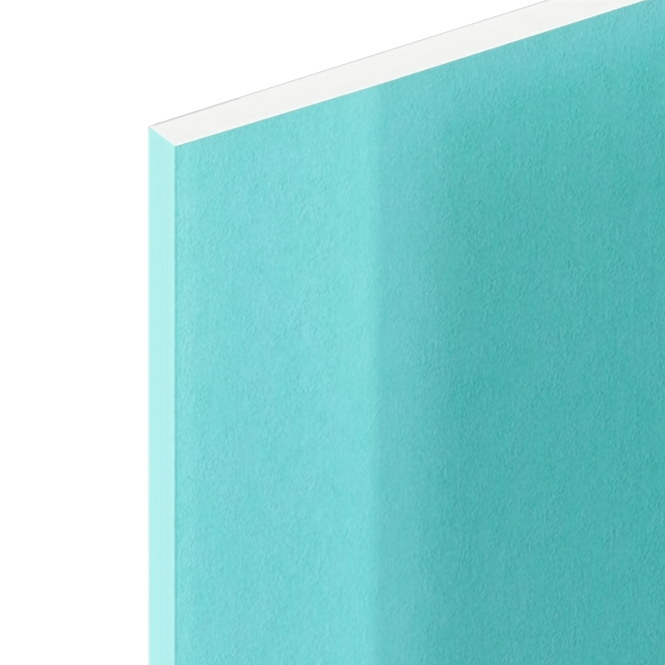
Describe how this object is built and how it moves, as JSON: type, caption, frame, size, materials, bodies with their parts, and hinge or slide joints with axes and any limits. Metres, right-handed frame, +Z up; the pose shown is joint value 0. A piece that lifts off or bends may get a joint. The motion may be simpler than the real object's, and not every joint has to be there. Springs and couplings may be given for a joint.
{
  "type": "drywall sheet",
  "caption": "Flat tapered-edge gypsum board with a white core, an aqua face paper folded round the long edges and a grey back paper, for lining walls and ceilings.",
  "frame": {"origin": "middle of the underside, on the back paper's outer face", "axes": "+X along the sheet from one sawn end to the other, +Y across it between the paper-bound long edges, +Z up out of the coloured face"},
  "size_m": [2.4, 1.2, 0.0125],
  "materials": {
    "gypsum": "matt white set gypsum, sawn, with fine pores",
    "face_paper": "matt aqua paper with fine fibres, lighter on the tapers and pale on the long edges",
    "back_paper": "matt light grey paper"
  },
  "bodies": {
    "root": {"gypsum_core": "gypsum", "face_paper": "face_paper", "back_paper": "back_paper"}
  },
  "joints": []
}
